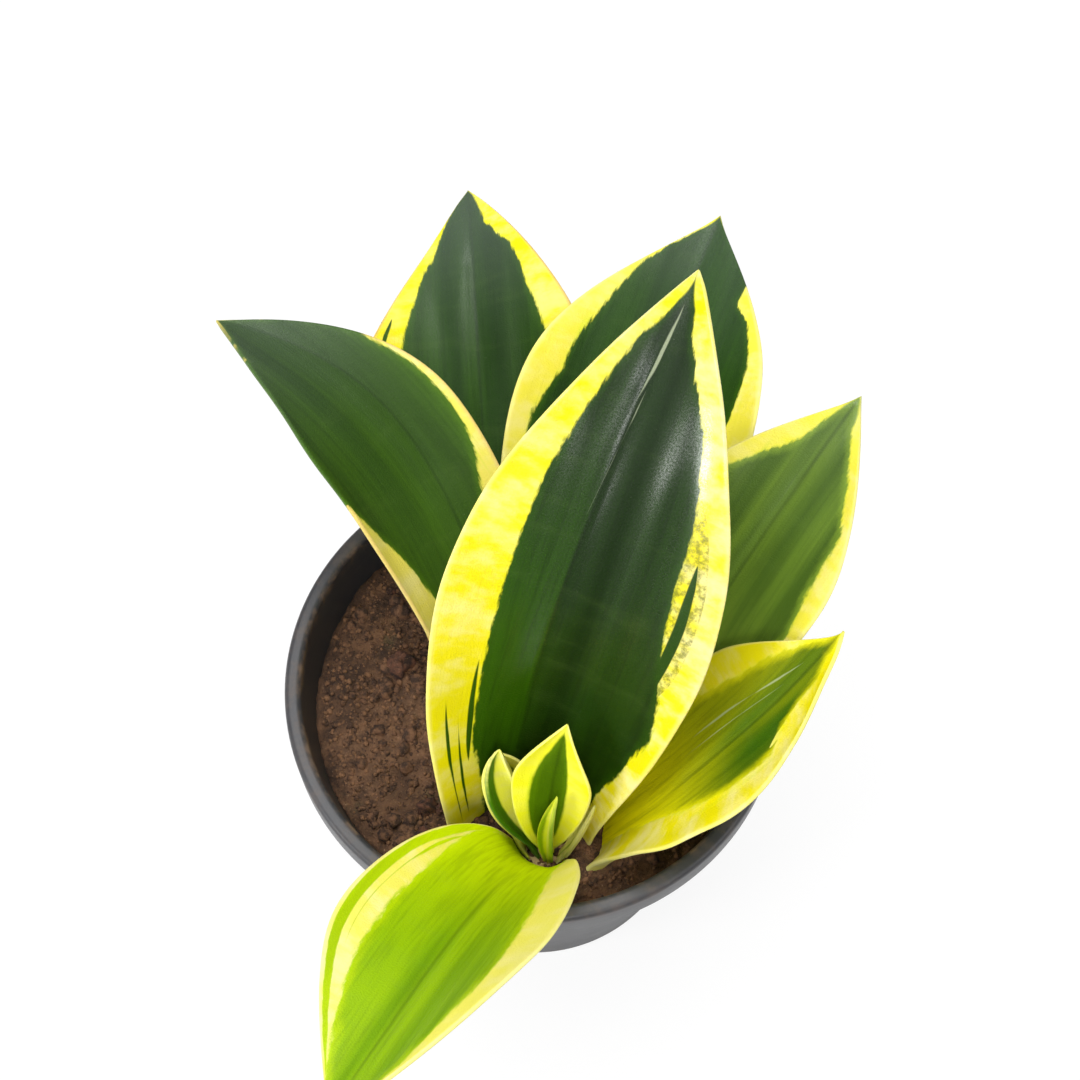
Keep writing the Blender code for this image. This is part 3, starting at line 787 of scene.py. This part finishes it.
def leaf_skin(name, seed, deep, fresh, margin, streaks=(), base_glow=0.35, brown=0.0, cream=0.5,
              jagged=1.5, painted_lit_half=0.0, painted_tip_sheen=0.25, polished=(0.55, 1.0, 0.5)):
    """Waxy leaf skin. Streaks are narrow fingers along the blade: where each starts and ends along it,
    where it is across it at both, how wide it is in millimetres, and its kind. Polished is where the
    sheen begins and is full along the blade, and how strong it is."""
    made, start, shader = new_material(name)
    map_place = start.node("ShaderNodeUVMap", {"uv_map": "blade"}, {})

    def measure(label):
        return start.node("ShaderNodeAttribute", {"attribute_name": label}, {}, 2)

    along, across, inside = measure("along"), measure("across"), measure("inside")
    half = measure("half_width") * 1000.0
    beside = measure("crease") * 1000.0
    away = (seed * 1.7, seed * 2.9, 0.0)
    pattern = functools.partial(map_place.noise, offset=away)
    fingers = pattern(26.0, 3.0, 0.62, stretch=(1.0, 0.05, 1.0))
    slow = pattern(3.2, 2.0, 0.5, stretch=(1.0, 0.4, 1.0))
    bands = pattern(11.0, 2.0, 0.5, stretch=(1.0, 0.03, 1.0))
    fibres = pattern(90.0, 3.0, 0.6, stretch=(1.0, 0.05, 1.0))
    rungs = pattern(16.0, 3.0, 0.6, stretch=(0.25, 1.0, 1.0))
    pores = pattern(240.0, 2.0, 0.6)
    ragged = pattern(80.0, 3.0, 0.7, stretch=(1.0, 0.30, 1.0))
    speckle = pattern(60.0, 3.0, 0.7).step(0.36, 0.66)
    edge = inside + (fingers - 0.5) * (2.0 * jagged) + (slow - 0.5) * 2.0 + (ragged - 0.5) * (1.4 * jagged)
    edge = edge * (1.0 - along.step(0.90, 0.99)) + inside * along.step(0.90, 0.99)
    green = edge.step(-0.30, 0.50)
    pale_lines = None
    for start_at, end_at, from_side, to_side, wide, kind in streaks:
        share = start.math("MULTIPLY", along - start_at, 1.0 / (end_at - start_at), clamp=True)
        centre = from_side + share * (to_side - from_side)
        taper = start.math("POWER", share * (1.0 - share) * 4.0, 0.6)
        reach = taper * wide + (fingers - 0.5) * 1.6 * taper
        finger = (reach - abs((across - centre) * half)).step(-0.02, 0.30) * taper.step(0.02, 0.2)
        if kind == "green":
            green = start.math("MAXIMUM", green, finger)
        elif kind == "cream":
            green = green * (1.0 - finger)
        elif kind == "speckled":
            green = start.math("MAXIMUM", green, finger * speckle * 0.65)
        else:
            pale_lines = finger if pale_lines is None else start.math("MAXIMUM", pale_lines, finger)
    bright = linear(*fresh)
    dark_skin = linear(*deep)
    halfway = tuple(0.55 * d + 0.45 * b for d, b in zip(dark_skin, bright))
    low_part = 1.0 - along.step(0.02, 0.66)
    green_colour = (bands.step(0.36, 0.64) * 0.55).blend(tuple(0.62 * d for d in dark_skin), halfway)
    green_colour = (slow.step(0.35, 0.65) * 0.30).blend(green_colour, dark_skin)
    green_colour = (low_part * base_glow).blend(green_colour, bright)
    # Painted light: the lower part of the blade left of the crease is coloured brighter green, standing in
    # for light falling on that half of the folded blade.
    if painted_lit_half:
        painted_lit_mask = (1.0 - beside.step(-1.5, 0.6)) * (1.0 - along.step(0.35, 0.80))
        green_colour = (painted_lit_mask * painted_lit_half).blend(green_colour, bright)
    # Painted shade: a dark line down the midrib crease, standing in for the shade inside the groove.
    painted_crease_shade = (1.0 - abs(beside).step(0.0, 0.7)) * along.step(0.15, 0.45)
    green_colour = (painted_crease_shade * 0.45).blend(green_colour, tuple(0.30 * d for d in dark_skin))
    green_colour = (fibres.step(0.42, 0.68) * 0.28).blend(green_colour, tuple(0.40 * d for d in dark_skin))
    green_colour = (rungs.step(0.50, 0.76) * 0.06).blend(green_colour, linear(104, 132, 60))
    green_colour = ((1.0 - edge.step(0.1, 2.4)) * 0.40).blend(green_colour, bright)
    # Painted reflection: the upper part of each blade is greyed toward the tip, standing in for the sheen
    # of the overhead lamp on upward-facing tips.
    green_colour = (along.step(0.62, 1.0) * painted_tip_sheen).blend(green_colour, linear(74, 86, 74))
    if pale_lines is not None:
        green_colour = (pale_lines * 0.42).blend(green_colour, linear(196, 206, 170))
    yellow = linear(*margin)
    pale = linear(232, 222, 158)
    bars = pattern(9.0, 3.0, 0.6, stretch=(0.45, 1.0, 1.0))
    blots = pattern(28.0, 3.0, 0.6, stretch=(0.6, 1.0, 1.0))
    right_side = 0.65 + across.step(-0.2, 0.2) * 0.35
    yellow_colour = ((bars * 0.6 + blots * 0.4).step(0.42, 0.64) * right_side * cream).blend(yellow, pale)
    hairs = fingers.step(0.56, 0.70) * (1.0 - (0.0 - edge).step(0.4, 4.0))
    yellow_colour = (hairs * 0.40).blend(yellow_colour, linear(190, 204, 36))
    yellow_colour = ((1.0 - (0.0 - edge).step(0.0, 0.8)) * 0.25).blend(yellow_colour, linear(196, 210, 40))
    outer = abs(across).step(0.95, 1.0)
    yellow_colour = (outer * 0.40).blend(yellow_colour, pale)
    yellow_colour = (outer * brown).blend(yellow_colour, linear(190, 124, 56))
    colour = green.blend(yellow_colour, green_colour)
    dusty = pattern(70.0, 4.0, 0.7).step(0.66, 0.80)
    colour = (dusty * 0.07).blend(colour, linear(214, 214, 196))
    under = 1.0 - measure("upper")
    colour = (under * 0.18).blend(colour, linear(150, 170, 120))
    wax = 0.30 + slow * 0.14 + fibres * 0.12 + rungs * 0.08
    relief = fibres * 0.6 + rungs * 0.25 + pores * 0.7 + fingers * 0.4
    finish_shader(shader, colour, wax, relief.bump(0.55, 0.00045), IOR=1.45,
                  Specular_IOR_Level=0.12, Subsurface_Weight=0.05,
                  Subsurface_Radius=(0.0020, 0.0024, 0.0006), Subsurface_Scale=1.0,
                  Coat_Roughness=0.24, Coat_IOR=1.5)
    grain = 0.45 + pores.step(0.36, 0.64) * 0.9
    gloss = along.step(polished[0], polished[1]) * (0.25 + bands.step(0.35, 0.65)) * grain * polished[2]
    start.tree.links.new(gloss.socket, shader.inputs["Coat Weight"])
    return made


# Each leaf's green band: its left and right limits across the half blade, -1 at the left margin and 1
# at the right, at places from the base (0) to the tip (1).
FOREST = (30, 62, 6)
LEMON = (222, 210, 6)

blades = (
    ("blade_back_left", "leaf_back_left", 2.0, 0.0006, 0.0006,
     (((0, 0.7, 0.86, 0.91, 0.96, 1.0), (-0.72, -0.71, -0.78, -0.86, -1.0, -1.1)),
      ((0, 0.68, 0.79, 0.86, 0.92, 0.97, 1.0), (0.66, 0.66, 0.70, 0.74, 0.52, 0.62, 0.9))),
     dict(deep=FOREST, fresh=(64, 104, 6), margin=LEMON, base_glow=0.25, brown=0.5, painted_tip_sheen=0.7,
          streaks=((0.66, 0.74, -0.86, -0.90, 0.7, "green"),))),
    ("blade_back_right", "leaf_back_right", 5.0, 0.0006, 0.0007,
     (((0, 0.56, 0.64, 0.76, 0.83, 0.88, 0.96, 1.0),
       (-0.85, -0.83, -0.72, -0.75, -0.83, -0.95, -0.9, -0.5)),
      ((0, 0.6, 0.68, 0.74, 0.80, 0.84, 0.88, 1.0), (0.68, 0.71, 0.80, 0.86, 0.89, 0.78, 1.1, 1.1))),
     dict(deep=(32, 66, 6), fresh=(56, 96, 4), margin=(224, 212, 64), base_glow=0.25, cream=0.6,
          painted_tip_sheen=0.4, polished=(0.80, 1.0, 0.3))),
    ("blade_right", "leaf_right", 8.0, 0.0006, 0.0012,
     (((0, 0.75, 0.80, 0.85, 0.92, 0.96, 1.0), (-0.85, -0.84, -0.72, -0.60, -0.60, -0.70, -1.1)),
      ((0, 0.57, 0.64, 0.70, 0.77, 0.83, 0.88, 0.94, 1.0),
       (0.86, 0.87, 0.77, 0.79, 0.88, 0.80, 0.76, 0.58, 1.1))),
     dict(deep=(84, 116, 36), fresh=(156, 188, 56), margin=(224, 214, 64), base_glow=0.95, painted_tip_sheen=0.2)),
    ("blade_left", "leaf_left", 11.0, 0.0005, 0.0004,
     (((0, 0.36, 0.46, 0.56, 0.62, 1.0), (-0.50, -0.50, -0.68, -0.94, -1.1, -1.1)),
      ((0, 0.48, 0.56, 0.62, 0.76, 0.85, 1.0), (0.62, 0.70, 0.87, 0.91, 0.95, 1.1, 1.1))),
     dict(deep=(56, 88, 26), fresh=(84, 124, 14), margin=(226, 212, 90), base_glow=0.5, brown=0.35,
          cream=0.7, painted_tip_sheen=0.5, polished=(0.70, 1.0, 0.35))),
    ("blade_right_low", "leaf_right_low", 14.0, 0.0005, 0.0012,
     (((0, 0.52, 0.62, 0.69, 0.76, 0.83, 0.89, 0.95, 1.0),
       (-0.8, -0.75, -0.66, -0.62, -0.65, -0.71, -0.8, -0.7, -1.1)),
      ((0, 0.17, 0.38, 0.55, 0.71, 0.74, 0.81, 0.88, 0.93, 1.0),
       (0.2, 0.2, 0.44, 0.55, 0.62, 0.48, 0.36, 0.46, 0.34, 1.1))),
     dict(deep=(62, 104, 8), fresh=(255, 244, 8), margin=LEMON, base_glow=1.0, cream=0.6, painted_tip_sheen=0.0,
          streaks=((0.46, 0.88, -0.40, -0.24, 0.35, "pale"), (0.40, 0.80, -0.28, -0.14, 0.25, "pale"),
                   (0.70, 0.80, 0.52, 0.40, 1.0, "cream")))),
    ("blade_front_tall", "leaf_front_tall", 17.0, 0.0007, 0.0012,
     (((0, 0.1, 0.2, 0.3, 0.45, 0.6, 0.75, 0.88, 0.93, 0.96, 0.985, 1.0),
       (-0.5, -0.5, -0.59, -0.56, -0.57, -0.62, -0.69, -0.72, -0.62, -0.40, -0.16, 0.0)),
      ((0, 0.15, 0.22, 0.32, 0.40, 0.43, 0.5, 0.57, 0.7, 0.8, 0.86, 0.91, 0.94, 0.985, 1.0),
       (0.76, 0.76, 0.80, 0.84, 0.76, 0.70, 0.62, 0.61, 0.69, 0.67, 0.56, 0.44, 0.44, 0.16, 0.0))),
     dict(deep=(18, 42, 2), fresh=(44, 82, 0), margin=(224, 210, 4), base_glow=0.10, cream=0.8,
          painted_lit_half=0.70, painted_tip_sheen=0.10, polished=(0.20, 0.62, 1.0),
          streaks=((0.36, 0.62, 0.67, 0.745, 1.5, "green"), (0.16, 0.36, -0.63, -0.60, 0.8, "green"),
                   (0.76, 0.95, -0.24, -0.14, 0.40, "pale"), (0.62, 0.82, -0.20, -0.16, 0.30, "pale"),
                   (0.38, 0.70, 0.71, 0.72, 4.0, "speckled"),
                   (0.0, 0.30, -0.80, -0.84, 0.5, "green"), (0.02, 0.26, -0.70, -0.72, 0.5, "green")))),
    ("blade_front_left", "leaf_front_left", 20.0, 0.0005, 0.0006,
     (((0, 0.06, 0.21, 0.32, 0.6, 0.85, 1.0), (-0.95, -0.95, -0.62, -0.56, -0.62, -0.75, -1.1)),
      ((0, 0.17, 0.30, 0.40, 0.6, 0.85, 1.0), (0.92, 0.90, 0.73, 0.66, 0.64, 0.75, 1.1))),
     dict(deep=(122, 170, 2), fresh=(202, 224, 0), margin=(226, 218, 92), base_glow=1.0, cream=0.7,
          painted_tip_sheen=0.0,
          streaks=((0.05, 0.95, 0.94, 0.90, 1.3, "green"), (0.2, 0.7, 0.82, 0.80, 0.4, "green")))),
)
CREASES = {"leaf_front_tall": (-0.12, -0.20), "leaf_left": (0.15, 0.50)}
for name, node, seed, waviness, hook, band, look in blades:
    finish = leaf_skin(name + "_skin", seed, **look)
    add_blade(name, node, band, finish, seed=seed, waviness=waviness, hook=hook,
              crease_at=CREASES.get(node, (0.0, 0.0)))


# The young leaves: the newest growth at the heart of the crown, thin, cupped round one another and
# still mostly yellow, with a soft green stripe inside.

young_blades = (
    ("young_blade_right", "young_leaf_right", 31.0, 0.00015, 0.0010,
     (((0, 0.25, 0.5, 0.8, 0.92, 1.0), (-0.70, -0.66, -0.56, -0.40, -0.16, 0.3)),
      ((0, 0.25, 0.5, 0.8, 0.92, 1.0), (0.46, 0.44, 0.40, 0.30, 0.16, -0.3))),
     dict(deep=(70, 104, 2), fresh=(96, 132, 2), margin=(240, 234, 36), base_glow=0.5, cream=0.25,
          painted_tip_sheen=0.0)),
    ("young_blade_left", "young_leaf_left", 34.0, 0.00012, 0.0008,
     (((0, 0.5, 0.9, 1.0), (-1.2, -1.1, -1.0, -0.8)),
      ((0, 0.4, 0.7, 0.9, 1.0), (-0.30, -0.42, -0.5, -0.5, -0.6))),
     dict(deep=(52, 104, 12), fresh=(84, 132, 8), margin=(240, 234, 84), base_glow=0.2, cream=0.9)),
    ("spear_blade", "spear_leaf", 37.0, 0.00008, 0.0002,
     (((0, 0.6, 1.0), (-0.5, -0.4, -0.1)), ((0, 0.6, 1.0), (0.5, 0.4, 0.1))),
     dict(deep=(136, 170, 10), fresh=(170, 196, 12), margin=(232, 230, 50), base_glow=0.5, cream=0.2)),
    ("scale_blade_left", "scale_leaf_left", 40.0, 0.00012, 0.0003,
     (((0, 0.6, 1.0), (-0.66, -0.60, -0.3)), ((0, 0.6, 1.0), (0.66, 0.60, 0.3))),
     dict(deep=(120, 156, 8), fresh=(170, 190, 10), margin=(240, 234, 60), base_glow=0.4, cream=0.3)),
    ("scale_blade_right", "scale_leaf_right", 43.0, 0.00010, 0.0002,
     (((0, 1.0), (-0.3, 0.1)), ((0, 1.0), (0.3, 0.0))),
     dict(deep=(150, 176, 30), fresh=(180, 196, 40), margin=(240, 232, 120), base_glow=0.4, cream=0.5)),
)
for name, node, seed, waviness, hook, band, look in young_blades:
    finish = leaf_skin(name + "_skin", seed, jagged=0.4, **look)
    add_blade(name, node, band, finish, young=True, seed=seed, waviness=waviness, hook=hook)


# The studio: a floor and a surround that look white to the camera, and four soft lamps, one overhead,
# one in front, one low at the left and a weak one at the right. The camera looks steeply down.

FLOOR_GLOW = 0.85
SKY_LIGHT = 0.30
SKY_SEEN = 1.0
CAMERA_RISE = 62.7
CAMERA_AWAY = 0.4212
CAMERA_TARGET = Vector((0.0015, 0.0367, pot_height))

floor_mesh = bpy.data.meshes.new("studio_floor")
floor_mesh.from_pydata([(-3, -3, 0), (3, -3, 0), (3, 3, 0), (-3, 3, 0)], [], [(0, 1, 2, 3)])
floor_made, floor_start, floor_shader = new_material("studio_floor_paint")
floor_place = floor_start.node("ShaderNodeTexCoord", {}, {}, 3)
floor_tone = floor_place.noise(4.0, 2.0)
finish_shader(floor_shader, floor_tone.blend((0.90, 0.90, 0.90), (0.92, 0.92, 0.92)),
              0.7 + floor_tone * 0.1, floor_tone.bump(0.02, 0.001))
seen = floor_start.node("ShaderNodeLightPath", {}, {}, "Is Camera Ray")
tree = floor_made.node_tree
glow = tree.nodes.new("ShaderNodeEmission")
mixed = tree.nodes.new("ShaderNodeMixShader")
paper = next(node for node in tree.nodes if node.type == "OUTPUT_MATERIAL")
tree.links.new((seen * FLOOR_GLOW).socket, mixed.inputs["Fac"])
tree.links.new(floor_shader.outputs["BSDF"], mixed.inputs[1])
tree.links.new(glow.outputs["Emission"], mixed.inputs[2])
tree.links.new(mixed.outputs["Shader"], paper.inputs["Surface"])
floor_mesh.materials.append(floor_made)
floor = place_object("studio_floor", floor_mesh)

surround = bpy.data.worlds.new("studio_surround")
surround.use_nodes = True
sky = surround.node_tree
ray = sky.nodes.new("ShaderNodeLightPath")
choose = sky.nodes.new("ShaderNodeMixShader")
sky.links.new(ray.outputs["Is Camera Ray"], choose.inputs["Fac"])
for slot, shade, strength in ((1, sky.nodes["Background"], SKY_LIGHT),
                              (2, sky.nodes.new("ShaderNodeBackground"), SKY_SEEN)):
    shade.inputs["Color"].default_value = (1.0, 1.0, 1.0, 1.0)
    shade.inputs["Strength"].default_value = strength
    sky.links.new(shade.outputs["Background"], choose.inputs[slot])
sky.links.new(choose.outputs["Shader"], sky.nodes["World Output"].inputs["Surface"])
bpy.context.scene.world = surround


def softbox(name, place, size, power):
    """A square lamp that looks at the plant."""
    lamp = bpy.data.lights.new(name, "AREA")
    lamp.shape = "SQUARE"
    lamp.size = size
    lamp.energy = power
    lamp_object = place_object(name, lamp)
    lamp_object.location = place
    lamp_object.rotation_euler = (CAMERA_TARGET - Vector(place)).to_track_quat("-Z", "Y").to_euler()


softbox("overhead_softbox", (-0.15, 0.15, 1.20), 0.8, 12.5)
softbox("front_softbox", (0.02, -0.67, 0.90), 0.26, 3.6)
softbox("left_softbox", (-0.82, -0.38, 0.50), 0.30, 4.6)
softbox("fill_softbox", (0.75, -0.30, 0.75), 0.5, 2.5)

rise = math.radians(CAMERA_RISE)
lens = bpy.data.cameras.new("camera")
lens.lens = 56.0
lens.sensor_width = 36.0
camera = place_object("camera", lens)
camera.location = CAMERA_TARGET + CAMERA_AWAY * Vector((0.0, -math.cos(rise), math.sin(rise)))
camera.rotation_euler = (CAMERA_TARGET - camera.location).to_track_quat("-Z", "Y").to_euler()
bpy.context.scene.camera = camera
bpy.context.scene.view_settings.view_transform = "Standard"
